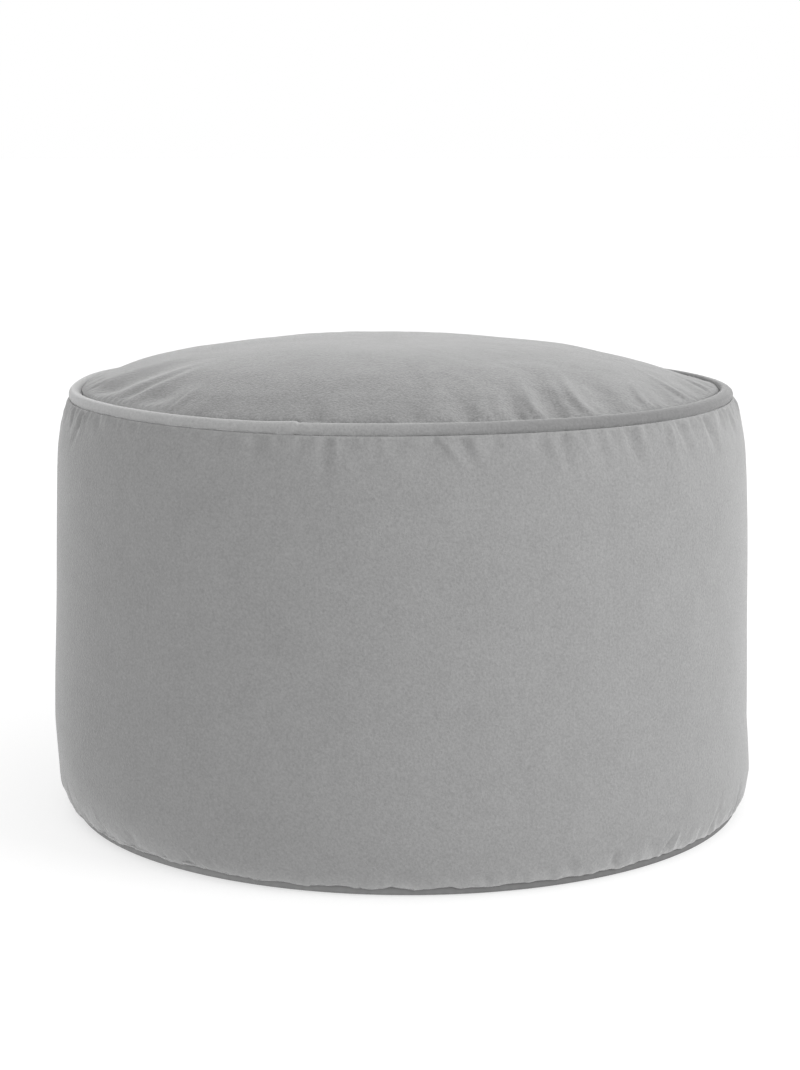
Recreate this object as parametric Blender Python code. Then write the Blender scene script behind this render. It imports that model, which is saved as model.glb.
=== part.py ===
"""Round bean bag footstool in plush cloth: a filled drum with a gathered domed top, a covered
piping round the top seam and a darker base panel.

Metres, +Z up, the floor at Z = 0, and the front of the photograph along -Y.
Angles in the fold tables are in degrees from the front, growing towards +X.
"""
import math
import random

import bmesh
import bpy
from mathutils import Vector

# ---- Driving dimensions (metres) -------------------------------------------------------------
HEIGHT = 0.360              # floor to the top of the crown
BELLY_RADIUS = 0.2730       # widest part of the side band
SEAM_RADIUS = 0.2509        # centre of the piping ring
SEAM_HEIGHT = 0.3218
PIPING_RADIUS = 0.0054      # cord with its cover, about 11 mm across
SHEET = 0.0020              # plush cloth with its pile, and the base cloth
GAP = 0.0003                # clear space between two pieces that touch

BASE_RADIUS = 0.2644        # outside of the base panel's upstanding edge
BASE_EDGE = 0.0062          # height of that edge
BASE_FLAT = 0.2592          # radius of the flat that stands on the floor

CROWN_OFFSET = -0.0156      # the filling has slumped to the left: the crown's top, along X
BASE_OFFSET = 0.0047        # the base sits a little to the right, along X
BASE_OFFSET_TOP = 0.070     # height at which that offset has faded out

# ---- Mesh fineness ---------------------------------------------------------------------------
SEGMENTS = 150              # round the drum
BASE_SEGMENTS = 75          # round the plain base panel
PIPING_POINTS = 88
PIPING_SIDES_RESOLUTION = 2

# ---- Profiles --------------------------------------------------------------------------------
# Crown of the top panel, from the seam inwards: (radius, rise above the panel's rim)
CROWN_RIM_RADIUS = 0.2453
CROWN_RIM_HEIGHT = SEAM_HEIGHT + 0.0010
CROWN_RISE = HEIGHT - CROWN_RIM_HEIGHT
CROWN_PROFILE = (
    (CROWN_RIM_RADIUS, 0.0000),
    (0.2425, 0.0030),
    (0.2362, 0.0068),
    (0.2237, 0.0113),
    (0.2017, 0.0180),
    (0.1567, 0.0279),
    (0.0867, 0.0358),
    (0.0000, CROWN_RISE),
)

# Channel under the piping, from the crown down and outwards: (radius, drop below the seam)
CHANNEL_PROFILE = (
    (0.2454, 0.0027),
    (0.2476, 0.0050),
    (0.2508, 0.0060),
)

# Side band, from where it wraps up round the piping to the base seam: (radius, height)
WALL_PROFILE = (
    (0.2537, 0.3166),
    (0.2552, 0.3178),
    (0.2566, 0.3180),
    (0.2579, 0.3164),
    (0.2592, 0.3129),
    (0.2608, 0.3068),
    (0.2640, 0.2960),
    (0.2672, 0.2755),
    (0.2697, 0.2200),
    (0.2711, 0.1550),
    (0.2722, 0.1000),
    (BELLY_RADIUS, 0.0520),
    (0.2727, 0.0320),
    (0.2715, 0.0215),
    (0.2700, 0.0155),
    (0.2687, 0.0110),
    (0.2672, 0.0078),
    (0.2654, 0.0068),
)

# Base panel's outside, from the flat up to the seam: (radius, height)
BASE_PROFILE = (
    (BASE_FLAT, 0.0000),
    (0.2632, 0.0012),
    (BASE_RADIUS, 0.0036),
    (0.2643, BASE_EDGE),
)

# ---- Folds -----------------------------------------------------------------------------------
# Each row is one trough that the seam's gathers press into the cloth:
# (angle at the seam, reach away from the seam in mm, lean in degrees at its far end, depth in mm)
TOP_FOLDS = (
    (-75, 45, -8, 3.8),
    (-63, 90, -16, 5.5),
    (-51, 80, -4, 5.5),
    (-33, 60, -3, 3.0),
    (-24, 45, -2, 2.5),
    (-12, 50, -2, 4.0),
    (-3, 45, 1, 3.8),
    (5, 75, 4, 2.8),
    (12, 70, 4, 6.2),
    (20, 40, 3, 3.0),
    (28, 80, 8, 6.5),
    (37, 85, 12, 5.0),
    (45, 40, 3, 2.8),
    (52, 55, 8, 5.5),
    (60, 50, 10, 4.0),
    (68, 55, 10, 5.0),
    (78, 45, 8, 4.5),
)
WALL_TOP_FOLDS = (
    (-78, 32, -2, 3.2),
    (-66, 42, 4, 5.7),
    (-49, 28, 2, 3.0),
    (-36, 36, 2, 3.5),
    (-28, 24, 1, 2.7),
    (-19, 38, 1, 4.9),
    (-10, 48, 1, 5.7),
    (0, 44, 0, 4.9),
    (8, 38, 2, 5.1),
    (22, 36, -2, 3.8),
    (30, 38, 2, 3.8),
    (38, 42, 2, 5.7),
    (46, 22, -1, 2.7),
    (54, 36, 0, 4.6),
    (61, 40, 1, 5.7),
    (69, 30, 2, 3.8),
    (80, 32, 3, 3.8),
)
WALL_BASE_FOLDS = (
    (-70, 34, -3, 3.8),
    (-57, 48, -5, 4.9),
    (-46, 30, -1, 3.8),
    (-39, 26, -1, 3.2),
    (-31, 38, -2, 5.9),
    (-24, 18, 0, 2.2),
    (-10, 20, 0, 2.2),
    (3, 22, 1, 1.9),
    (15, 20, 0, 2.2),
    (26, 20, 0, 2.4),
    (34, 32, -1, 6.2),
    (43, 36, 3, 5.4),
    (55, 42, 3, 4.3),
    (66, 34, 3, 4.1),
    (78, 32, 3, 3.5),
)
# The unseen back carries the same kind of gathers, dealt out by a seeded loop.
BACK_FROM, BACK_TO = 88, 278            # degrees
BACK_SEEDS = {"top": 11, "wall_top": 23, "wall_base": 37}
BACK_KINDS = {                          # spacing, reach, lean and depth, each as (least, most)
    "top": ((7, 12), (40, 85), (-10, 10), (2.5, 6.0)),
    "wall_top": ((7, 12), (24, 44), (-3, 3), (2.6, 5.4)),
    "wall_base": ((8, 13), (20, 42), (-4, 4), (2.2, 5.6)),
}
FOLD_HALF_WIDTH = 0.0085                # half the width of a trough, along the seam
FOLD_START = 0.0050                     # clear of the piping and the stitches
FOLD_RISE = 0.0055                      # distance over which a trough reaches its full depth
FOLD_FADE_POWER = 1.1
RIDGE_SHARE = 0.30                      # height of the ridges beside a trough, against its depth
RIDGE_PLACE = 1.35                      # their crest, in trough half-widths from its middle
RIDGE_HALF_WIDTH = 0.80

# Slow rise and fall of the top seam: (waves round the drum, height in mm, start in degrees)
SEAM_WAVES = ((2, 0.5, 5), (3, 0.5, -120), (5, 0.4, 35))
SEAM_WAVE_FOOT = 0.200                  # height below which the drum stays level

# ---- Colours (linear RGB) --------------------------------------------------------------------
PLUSH_GREY = (0.372, 0.370, 0.372)
PIPING_GREY = (0.352, 0.350, 0.352)
BASE_GREY = (0.215, 0.215, 0.218)


# ---- Scene helpers ---------------------------------------------------------------------------
def clear_scene():
    """Remove whatever the file opened with."""
    for obj in list(bpy.data.objects):
        bpy.data.objects.remove(obj, do_unlink=True)


def cloth_material(name, colour, roughness, sheen):
    """A plain cloth: the colour of its pile, and the soft edge light that pile gives."""
    material = bpy.data.materials.new(name)
    material.use_nodes = True
    shader = material.node_tree.nodes["Principled BSDF"]
    shader.inputs["Base Color"].default_value = (*colour, 1.0)
    shader.inputs["Roughness"].default_value = roughness
    shader.inputs["Metallic"].default_value = 0.0
    shader.inputs["Sheen Weight"].default_value = sheen
    material.diffuse_color = (*colour, 1.0)
    return material


# ---- Where the gathers press the cloth -------------------------------------------------------
def smooth_step(value):
    """Ease from 0 to 1."""
    value = min(1.0, max(0.0, value))
    return value * value * (3.0 - 2.0 * value)


def back_folds(kind):
    """Rows like those of the tables, for the side the photograph doesn't show."""
    source = random.Random(BACK_SEEDS[kind])
    spacing, reach, lean, depth = BACK_KINDS[kind]
    rows = []
    angle = BACK_FROM + source.uniform(*spacing) * 0.5
    while angle < BACK_TO:
        rows.append((angle, source.uniform(*reach), source.uniform(*lean), source.uniform(*depth)))
        angle += source.uniform(*spacing)
    return rows


def wrap_degrees(angle):
    """The same direction between -180 and 180 degrees."""
    return (angle + 180.0) % 360.0 - 180.0


def bell(value):
    """A smooth hump: 1 at 0, and 0 from 1 outwards."""
    if abs(value) >= 1.0:
        return 0.0
    return 0.5 + 0.5 * math.cos(math.pi * value)


def fold_depth(rows, angle, radius, distance):
    """How deep the gathers of one seam press, at this angle and distance from the seam."""
    if distance <= FOLD_START:
        return 0.0
    rise = smooth_step((distance - FOLD_START) / FOLD_RISE)
    depth = 0.0
    for seam_angle, reach_mm, lean, depth_mm in rows:
        along = distance * 1000.0 / reach_mm
        if along >= 1.0:
            continue
        offset = math.radians(wrap_degrees(angle - seam_angle - lean * along)) * radius
        across = abs(offset) / FOLD_HALF_WIDTH
        ridge = RIDGE_SHARE * bell((across - RIDGE_PLACE) / RIDGE_HALF_WIDTH)
        fade = (1.0 - along) ** FOLD_FADE_POWER
        depth += depth_mm * 0.001 * (bell(across) - ridge) * fade * rise
    return depth


def on_mesh(rows):
    """The same rows with every trough's start moved onto the nearest line of the mesh."""
    step = 360.0 / SEGMENTS
    return [(round(angle / step) * step, *rest) for angle, *rest in rows]


FOLDS = {
    "top": on_mesh(list(TOP_FOLDS) + back_folds("top")),
    "wall_top": on_mesh(list(WALL_TOP_FOLDS) + back_folds("wall_top")),
    "wall_base": on_mesh(list(WALL_BASE_FOLDS) + back_folds("wall_base")),
}


def seam_wave(angle):
    """Height that the top seam has gained at this angle."""
    height = 0.0
    for count, size_mm, start in SEAM_WAVES:
        height += size_mm * 0.001 * math.sin(math.radians(count * angle + start))
    return height


def press_folds(point):
    """Push one point of the drum the way the gathers at the nearest seam pull its cloth."""
    radius = math.hypot(point.x, point.y)
    if radius < 1e-6:
        return point.copy()
    angle = math.degrees(math.atan2(point.x, -point.y))
    outward = Vector((point.x, point.y, 0.0)) / radius
    from_seam = math.hypot(radius - SEAM_RADIUS, point.z - SEAM_HEIGHT)
    if radius < SEAM_RADIUS and point.z > SEAM_HEIGHT - PIPING_RADIUS:
        depth = fold_depth(FOLDS["top"], angle, radius, from_seam)
        return point - Vector((0.0, 0.0, depth))
    if point.z > HEIGHT * 0.5:
        depth = fold_depth(FOLDS["wall_top"], angle, radius, from_seam)
        return point - outward * depth
    from_base = math.hypot(radius - BASE_RADIUS, point.z - BASE_EDGE)
    if radius > BASE_RADIUS:
        depth = fold_depth(FOLDS["wall_base"], angle, radius, from_base + FOLD_START)
        return point - outward * min(depth, radius - BASE_RADIUS)
    return point.copy()


def settle(point):
    """Move one point with the drum's slump: wavy seam, crown to the left, base to the right."""
    angle = math.degrees(math.atan2(point.x, -point.y))
    radius = math.hypot(point.x, point.y)
    share = smooth_step((point.z - SEAM_WAVE_FOOT) / (SEAM_HEIGHT - SEAM_WAVE_FOOT))
    rim_share = smooth_step(radius / SEAM_RADIUS)
    moved = point.copy()
    moved.z += seam_wave(angle) * share * rim_share
    crown_share = min(1.0, max(0.0, (point.z - CROWN_RIM_HEIGHT) / CROWN_RISE))
    base_share = max(0.0, 1.0 - point.z / BASE_OFFSET_TOP)
    moved.x += CROWN_OFFSET * crown_share + BASE_OFFSET * base_share
    return moved


# ---- Solids of revolution --------------------------------------------------------------------
def spin_solid(name, profile, segments):
    """Turn a profile that starts and ends on the axis into one closed body."""
    mesh = bpy.data.meshes.new(name)
    bm = bmesh.new()
    verts = [bm.verts.new((0.0, -radius, height)) for radius, height in profile]
    edges = [bm.edges.new(pair) for pair in zip(verts[:-1], verts[1:])]
    bmesh.ops.spin(
        bm,
        geom=verts + edges,
        cent=(0.0, 0.0, 0.0),
        axis=(0.0, 0.0, 1.0),
        angle=2.0 * math.pi,
        steps=segments,
        use_merge=True,
    )
    bmesh.ops.remove_doubles(bm, verts=bm.verts, dist=1e-6)
    bmesh.ops.recalc_face_normals(bm, faces=bm.faces)
    bm.to_mesh(mesh)
    bm.free()
    obj = bpy.data.objects.new(name, mesh)
    bpy.context.scene.collection.objects.link(obj)
    return obj


def shape_points(obj, *moves):
    """Apply the given moves, in turn, to every point of a mesh."""
    for vertex in obj.data.vertices:
        point = vertex.co.copy()
        for move in moves:
            point = move(point)
        vertex.co = point
    obj.data.update()


def offset_inwards(profile, distance):
    """The same profile a set distance further inside, measured across the cloth."""
    inside = []
    last = len(profile) - 1
    for index, (radius, height) in enumerate(profile):
        before = profile[max(0, index - 1)]
        after = profile[min(last, index + 1)]
        along = Vector((after[0] - before[0], after[1] - before[1])).normalized()
        across = Vector((-along.y, along.x))
        inside.append((max(0.0, radius + across.x * distance), height + across.y * distance))
    return inside


def crown_profile(depth):
    """The crown's profile from rim to centre, the given depth under the plush face."""
    face = [(radius, CROWN_RIM_HEIGHT + rise) for radius, rise in CROWN_PROFILE]
    if depth == 0.0:
        return face
    profile = offset_inwards(face, depth)
    profile[-1] = (0.0, face[-1][1] - depth)
    return profile


def base_profile(depth):
    """The base panel's profile from centre to edge, the given depth above its outside face."""
    face = [(0.0, 0.0), *BASE_PROFILE]
    if depth == 0.0:
        return face
    profile = offset_inwards(face, depth)
    profile[0] = (0.0, depth)
    profile[-1] = (face[-1][0] - depth, BASE_EDGE)
    return profile


# ---- The four sewn pieces --------------------------------------------------------------------
def make_side_band():
    """The bulging side band with all that fills the drum, as one solid."""
    crown = crown_profile(SHEET + GAP)
    crown.reverse()
    channel = [(radius, SEAM_HEIGHT - drop) for radius, drop in CHANNEL_PROFILE]
    underside = base_profile(SHEET + 2.0 * GAP)[:-1:2]
    underside.reverse()
    lip = [(BASE_RADIUS - SHEET - 2.0 * GAP, BASE_EDGE + 2.0 * GAP)]
    profile = crown + channel + list(WALL_PROFILE) + lip + underside
    obj = spin_solid("side_band", profile, SEGMENTS)
    shape_points(obj, press_folds, settle)
    return obj


def make_top_panel():
    """The round top panel, domed over the filling and gathered into the seam all round."""
    profile = crown_profile(SHEET)
    profile.reverse()
    profile += crown_profile(0.0)
    obj = spin_solid("top_panel", profile, SEGMENTS)
    shape_points(obj, press_folds, settle)
    return obj


def make_base_panel():
    """The plain base panel: flat on the floor, its edge turned up to the base seam."""
    profile = base_profile(0.0)
    inside = base_profile(SHEET)
    inside.reverse()
    obj = spin_solid("base_panel", profile + inside, BASE_SEGMENTS)
    shape_points(obj, settle)
    return obj


def make_piping():
    """The cloth-covered cord that follows the top seam as one closed ring."""
    curve = bpy.data.curves.new("piping_path", "CURVE")
    curve.dimensions = "3D"
    curve.bevel_depth = PIPING_RADIUS
    curve.bevel_resolution = PIPING_SIDES_RESOLUTION
    spline = curve.splines.new("POLY")
    spline.points.add(PIPING_POINTS - 1)
    spline.use_cyclic_u = True
    for index, point in enumerate(spline.points):
        turn = 2.0 * math.pi * index / PIPING_POINTS
        place = Vector((math.sin(turn), -math.cos(turn), 0.0)) * SEAM_RADIUS
        place.z = SEAM_HEIGHT
        point.co = (*settle(place), 1.0)
    path = bpy.data.objects.new("piping_path", curve)
    bpy.context.scene.collection.objects.link(path)
    mesh = bpy.data.meshes.new_from_object(path.evaluated_get(bpy.context.evaluated_depsgraph_get()))
    bpy.data.objects.remove(path, do_unlink=True)
    mesh.name = "piping"
    bm = bmesh.new()
    bm.from_mesh(mesh)
    bmesh.ops.remove_doubles(bm, verts=bm.verts, dist=1e-6)
    bmesh.ops.recalc_face_normals(bm, faces=bm.faces)
    bm.to_mesh(mesh)
    bm.free()
    obj = bpy.data.objects.new("piping", mesh)
    bpy.context.scene.collection.objects.link(obj)
    return obj


def finish(obj, material):
    """Give a piece its cloth and shade it round, keeping the cut edge of the sheet crisp."""
    obj.data.materials.clear()
    obj.data.materials.append(material)
    obj.data.shade_smooth()
    obj.data.set_sharp_from_angle(angle=math.radians(60.0))


def build():
    clear_scene()
    finish(make_side_band(), cloth_material("plush_side", PLUSH_GREY, 0.85, 0.6))
    finish(make_top_panel(), cloth_material("plush_top", PLUSH_GREY, 0.85, 0.6))
    finish(make_piping(), cloth_material("plush_piping", PIPING_GREY, 0.85, 0.6))
    finish(make_base_panel(), cloth_material("base_cloth", BASE_GREY, 0.90, 0.1))


build()
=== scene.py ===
# %% [markdown]
# # A round bean bag footstool in light grey plush
#
# The footstool is a drum 54.6 cm across and 36 cm high, filled with light beads. Four pieces of
# cloth make its cover: a round top panel, a strip of piping round the top seam, one side band and
# a round base panel. The top panel and the side band are cut a little too large for their seams,
# so they gather there. Those gathers are the character of the thing, and they get the most care.
#
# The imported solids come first. They fix every size and place, and each visible piece below
# stands for one of them.

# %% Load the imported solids
import math
import random
from collections import namedtuple

import bmesh
import bpy
import numpy as np
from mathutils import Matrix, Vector, noise


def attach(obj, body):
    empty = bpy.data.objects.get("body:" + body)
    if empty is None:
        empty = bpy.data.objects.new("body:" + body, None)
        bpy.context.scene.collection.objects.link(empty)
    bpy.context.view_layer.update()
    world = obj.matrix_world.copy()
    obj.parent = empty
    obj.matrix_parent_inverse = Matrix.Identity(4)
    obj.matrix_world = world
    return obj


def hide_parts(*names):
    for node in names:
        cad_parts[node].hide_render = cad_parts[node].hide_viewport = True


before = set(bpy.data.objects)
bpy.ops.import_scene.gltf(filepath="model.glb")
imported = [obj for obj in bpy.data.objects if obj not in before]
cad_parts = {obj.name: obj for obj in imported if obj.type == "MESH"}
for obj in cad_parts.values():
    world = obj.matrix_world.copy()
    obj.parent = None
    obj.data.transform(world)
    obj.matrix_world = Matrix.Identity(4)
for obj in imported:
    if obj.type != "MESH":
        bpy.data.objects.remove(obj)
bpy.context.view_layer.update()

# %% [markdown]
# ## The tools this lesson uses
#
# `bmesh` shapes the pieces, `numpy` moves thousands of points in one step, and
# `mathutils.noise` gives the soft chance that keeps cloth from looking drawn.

scene = bpy.context.scene
print("nodes:", sorted(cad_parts))

# %% [markdown]
# ## The sizes of the drum
#
# A sewn drum is a solid of revolution that its gathers and its own weight have made uneven. So it
# is described by a few profiles, as (radius, height) pairs in metres, and everything uneven is
# added afterwards. The numbers start from those of the solids. The cord, the hem and the base's
# edge are up to about 2 mm smaller here, which is nearer to the photograph.

# %% Sizes and profiles
HEIGHT = 0.360                              # floor to the top of the crown
SEAM_RADIUS, SEAM_HEIGHT = 0.2509, 0.3218   # middle of the top seam
CORD_RADIUS, CORD_HEIGHT = 0.0051, 0.3215   # the piping in that seam
SHEET = 0.0020                              # plush with its pile, and the base cloth
RIM_HEIGHT = 0.3226                         # where the top panel starts
CROWN_RISE = HEIGHT - RIM_HEIGHT

# The top panel, from its rim to its middle.
CROWN_PROFILE = (
    (0.2455, RIM_HEIGHT),
    (0.2453, 0.3246),
    (0.2442, 0.3264),
    (0.2418, 0.3280),
    (0.2362, 0.3303),
    (0.2237, 0.3347),
    (0.2017, 0.3415),
    (0.1567, 0.3516),
    (0.0867, 0.3595),
    (0.0000, HEIGHT + 0.0008),
)
# The side band, from under the piping over a small crest and down to its hem.
WALL_PROFILE = (
    (0.2532, 0.3167),
    (0.2544, 0.3175),
    (0.2553, 0.3185),
    (0.2560, 0.3188),
    (0.2569, 0.3180),
    (0.2580, 0.3161),
    (0.2592, 0.3130),
    (0.2608, 0.3070),
    (0.2636, 0.2960),
    (0.2664, 0.2755),
    (0.2688, 0.2200),
    (0.2704, 0.1550),
    (0.2722, 0.1000),
    (0.2730, 0.0520),
    (0.2727, 0.0320),
    (0.2715, 0.0215),
    (0.2696, 0.0155),
    (0.2679, 0.0107),
    (0.2660, 0.0073),
    (0.2642, 0.0056),
)
# The base panel's edge, from the floor up to its seam.
BASE_EDGE_PROFILE = (
    (0.2606, 0.0000),
    (0.2616, 0.0004),
    (0.2621, 0.0014),
    (0.2620, 0.0064),
    (0.2606, 0.0082),
)
print("crown", round(CROWN_RISE * 1000, 1), "mm above its seam")

# %% [markdown]
# ## A smooth line through a profile
#
# The real cloth has no corners between those points, so a Catmull-Rom curve runs through them.
# It is then cut into rows of the mesh. Gathers need rows 2 or 3 mm apart next to a seam, while
# the middle of the side has nothing to show and takes rows 10 mm apart.

# %% Smooth profiles and their rows
def smooth_line(profile, pieces=12):
    """Points of a Catmull-Rom curve through the profile, and their distances along it."""
    knots = [Vector(point).to_3d() for point in profile]
    knots = [knots[0] * 2 - knots[1], *knots, knots[-1] * 2 - knots[-2]]
    line = []
    for before, start, end, after in zip(knots, knots[1:], knots[2:], knots[3:]):
        for step in range(pieces):
            t = step / pieces
            line.append(
                0.5 * (
                    2 * start
                    + (end - before) * t
                    + (2 * before - 5 * start + 4 * end - after) * t ** 2
                    + (3 * start - before - 3 * end + after) * t ** 3
                )
            )
    line.append(knots[-2])
    distances = [0.0]
    for a, b in zip(line, line[1:]):
        distances.append(distances[-1] + (b - a).length)
    return line, distances


def rows_from_seam(length, first, growth, widest):
    """Distances of the rows from one seam, close together there and wider further on."""
    rows, step = [0.0], first
    while rows[-1] < length:
        rows.append(rows[-1] + step)
        step = min(step * growth, widest)
    return [row for row in rows if row < length - step * 0.5]


def profile_rows(profile, distances_wanted):
    """(radius, height) of the smooth line at each wanted distance along it."""
    line, distances = smooth_line(profile)
    radii = np.interp(distances_wanted, distances, [point.x for point in line])
    heights = np.interp(distances_wanted, distances, [point.y for point in line])
    return list(zip(radii.tolist(), heights.tolist()))


wall_length = smooth_line(WALL_PROFILE)[1][-1]
crown_length = smooth_line(CROWN_PROFILE)[1][-1]
half_wall = rows_from_seam(wall_length / 2, first=0.0014, growth=1.10, widest=0.0095)
WALL_ROWS = half_wall + [wall_length - row for row in reversed(half_wall)]
CROWN_ROWS = rows_from_seam(crown_length, first=0.0022, growth=1.07, widest=0.0120)
CROWN_ROWS.append(crown_length)
print(f"side band {wall_length * 1000:.0f} mm tall along the cloth, {len(WALL_ROWS)} rows")
print(f"top panel {crown_length * 1000:.0f} mm from rim to centre, {len(CROWN_ROWS)} rows")

# %% [markdown]
# ## Turning a profile into cloth
#
# `bmesh.ops.spin` turns the row of points round the drum's axis. A full turn needs `use_merge`,
# or the first and last columns of points would lie on each other as an open slit. Each point
# keeps its distance from the seam in a layer of its own, which the spin copies along with it,
# because every later step asks for it.

# %% Spin a sheet
COLUMNS = 384
SAME_PLACE = 1e-5


def new_piece(name, bm):
    """A new object in the scene with the bmesh as its mesh."""
    mesh = bpy.data.meshes.new(name)
    bm.to_mesh(mesh)
    bm.free()
    piece = bpy.data.objects.new(name, mesh)
    scene.collection.objects.link(piece)
    return piece


def spin_round(bm, steps):
    """Turn all that the bmesh holds once round the Z axis."""
    bmesh.ops.spin(
        bm,
        geom=bm.verts[:] + bm.edges[:],
        cent=(0.0, 0.0, 0.0),
        axis=(0.0, 0.0, 1.0),
        angle=2.0 * math.pi,
        steps=steps,
        use_merge=True,
    )
    bmesh.ops.remove_doubles(bm, verts=bm.verts, dist=SAME_PLACE)
    bmesh.ops.recalc_face_normals(bm, faces=bm.faces)


def turned_sheet(name, profile, distances, columns=COLUMNS):
    """An object whose mesh is the profile turned once round the Z axis."""
    bm = bmesh.new()
    layer = bm.verts.layers.float.new("from_seam")
    verts = [bm.verts.new((0.0, -radius, height)) for radius, height in profile]
    for vert, distance in zip(verts, distances):
        vert[layer] = distance
    for pair in zip(verts, verts[1:]):
        bm.edges.new(pair)
    spin_round(bm, columns)
    return new_piece(name, bm)

# %% [markdown]
# ## Working on all points at once
#
# A piece of cloth here has up to 100,000 points. `foreach_get` and `foreach_set` copy them to a
# numpy array and back in one go, so a fold is written once for all of them.

# %% Read and write the points of a piece
def read_points(piece):
    """The mesh's points as an array of rows."""
    points = np.empty(len(piece.data.vertices) * 3, dtype=np.float32)
    piece.data.vertices.foreach_get("co", points)
    return points.reshape(-1, 3)


def write_points(piece, points):
    """Put an array of rows back into the mesh."""
    piece.data.vertices.foreach_set("co", np.asarray(points, dtype=np.float32).ravel())
    piece.data.update()


def note_painted_light(piece, amounts):
    """Keep how much painted light lightens each point, 0 and up, for the plush material."""
    layer = piece.data.attributes.new("painted_light", "FLOAT", "POINT")
    layer.data.foreach_set("value", np.asarray(amounts, dtype=np.float32))


def read_distances(piece):
    """Each point's distance from the seam, in metres."""
    values = np.empty(len(piece.data.vertices), dtype=np.float32)
    piece.data.attributes["from_seam"].data.foreach_get("value", values)
    return values


def angles_of(points):
    """Each point's angle round the drum in degrees, 0 in front and growing to the right."""
    return np.degrees(np.arctan2(points[:, 0], -points[:, 1]))


def radii_of(points):
    """Each point's distance from the drum's axis."""
    return np.hypot(points[:, 0], points[:, 1])

# %% [markdown]
# ## Where the main gathers lie
#
# In the photograph some gathers are clearly larger than the rest. Each is a row here: its angle
# at the seam, how far it reaches from the seam, how many degrees it has turned aside at its far
# end, how deep it presses, and half its width. A negative depth is a ridge. On the top panel the
# troughs at the right front are broad, with narrow ridges between them, and the left front has
# one long shallow hollow with a few thin ridges beside it. The back doesn't show, so a seeded
# loop deals out gathers of the same kind there.

# %% Tables of the main gathers
Fold = namedtuple("Fold", "angle reach_mm lean depth_mm half_mm")

TOP_FOLDS = [Fold(*row) for row in (
    (-86, 34, -10, -1.6, 4),
    (-80, 36, -6, -1.6, 3.5),
    (-75.2, 38, -5, -1.8, 3.5),
    (-70.4, 26, 0, -1.5, 3.5),
    (-69, 140, -3, 5.0, 37),
    (-103, 60, 0, 1.8, 80),
    (102, 56, 0, 4.4, 80),
    (-56.0, 130, -5, 1.6, 10),
    (-52.5, 34, 1, -0.7, 4),
    (-48.5, 80, 0, 3.2, 24),
    (-40.5, 56, -2, -1.8, 5),
    (-31, 50, -3, 1.2, 12),
    (-13.4, 46, -2, 1.8, 12),
    (2, 84, 8, 2.4, 13),
    (11, 58, 4, 3.6, 11),
    (19.6, 72, 9, 3.8, 9),
    (23.5, 74, 10, -2.6, 6),
    (26.6, 108, 17, 5.0, 16),
    (32.6, 95, 17, -2.4, 7),
    (38, 92, 18, 3.6, 22),
    (46.8, 64, 19, -1.7, 6.5),
    (53, 54, 16, 2.2, 17),
    (60, 66, 18, -1.9, 6.5),
    (66.5, 50, 17, 2.0, 16),
    (73, 50, 18, -1.8, 5),
    (79.5, 42, 10, 1.6, 16),
)]
WALL_TOP_FOLDS = [Fold(*row) for row in (
    (-84, 16, -2, 1.4, 4),
    (-79, 18, -1, 1.4, 3.5),
    (-74.5, 22, 1, 1.6, 4),
    (-70, 26, 1, 1.8, 4),
    (-64, 40, -4, 2.8, 6),
    (-61.8, 30, -6, -1.6, 4),
    (-50, 26, 2, 1.2, 7),
    (-35, 30, 0, -1.2, 5),
    (-24.5, 26, -1, -1.8, 6),
    (-21.8, 30, -1, 2.8, 7),
    (-13.6, 38, -2, -1.4, 6),
    (-11.0, 46, -1, 2.7, 6),
    (-3.7, 26, 0, 1.4, 5),
    (5.6, 34, 6, -2.2, 4.5),
    (8.8, 36, 3, 3.0, 7),
    (21.3, 36, 1, 2.4, 7),
    (25.0, 44, 1, 2.8, 6),
    (27.0, 40, 4, -1.6, 5),
    (31.0, 40, 2, 2.6, 7),
    (37.5, 44, 2, 3.8, 8),
    (46.5, 48, 2, -2.0, 5),
    (50.0, 40, 1, 3.4, 7),
    (58.0, 42, 2, 3.8, 8),
    (69, 34, 2, 3.0, 7),
    (80, 32, 3, 2.4, 6),
)]
WALL_BASE_FOLDS = [Fold(*row) for row in (
    (-80, 40, -5, -1.2, 3.5),
    (-74, 44, -6, -1.4, 3.5),
    (-68, 40, -6, -1.3, 3.5),
    (-62, 30, -5, -1.2, 3),
    (-55, 34, -6, -1.4, 3),
    (-47, 26, -4, -1.2, 3),
    (-39, 22, -3, -1.0, 3),
    (-33.5, 36, -6, -1.4, 3),
    (-30, 30, -4, 1.8, 6),
    (-22, 18, 0, 1.4, 7),
    (-10, 18, 0, 1.2, 8),
    (3, 18, 1, 1.0, 8),
    (15, 20, 0, 1.4, 7),
    (25, 20, 0, 1.8, 5),
    (33, 22, 0, 2.8, 4.5),
    (43.5, 26, 4, 3.2, 4),
    (45.5, 36, 3, -1.2, 3.5),
    (57, 40, 3, 2.2, 5),
    (67, 36, 3, 2.6, 6),
    (78, 32, 3, 2.2, 6),
)]


BACK_HALF_MM = 7


def back_folds(seed, spacing, reach, lean, depth, ends=(88, 270)):
    """Gathers for the side that the photograph doesn't show, each value as (least, most)."""
    source = random.Random(seed)
    folds, angle = [], ends[0] + source.uniform(*spacing) / 2
    while angle < ends[1]:
        chance = [source.uniform(*limits) for limits in (reach, lean, depth)]
        folds.append(Fold(angle, *chance, BACK_HALF_MM))
        angle += source.uniform(*spacing)
    return folds


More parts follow.
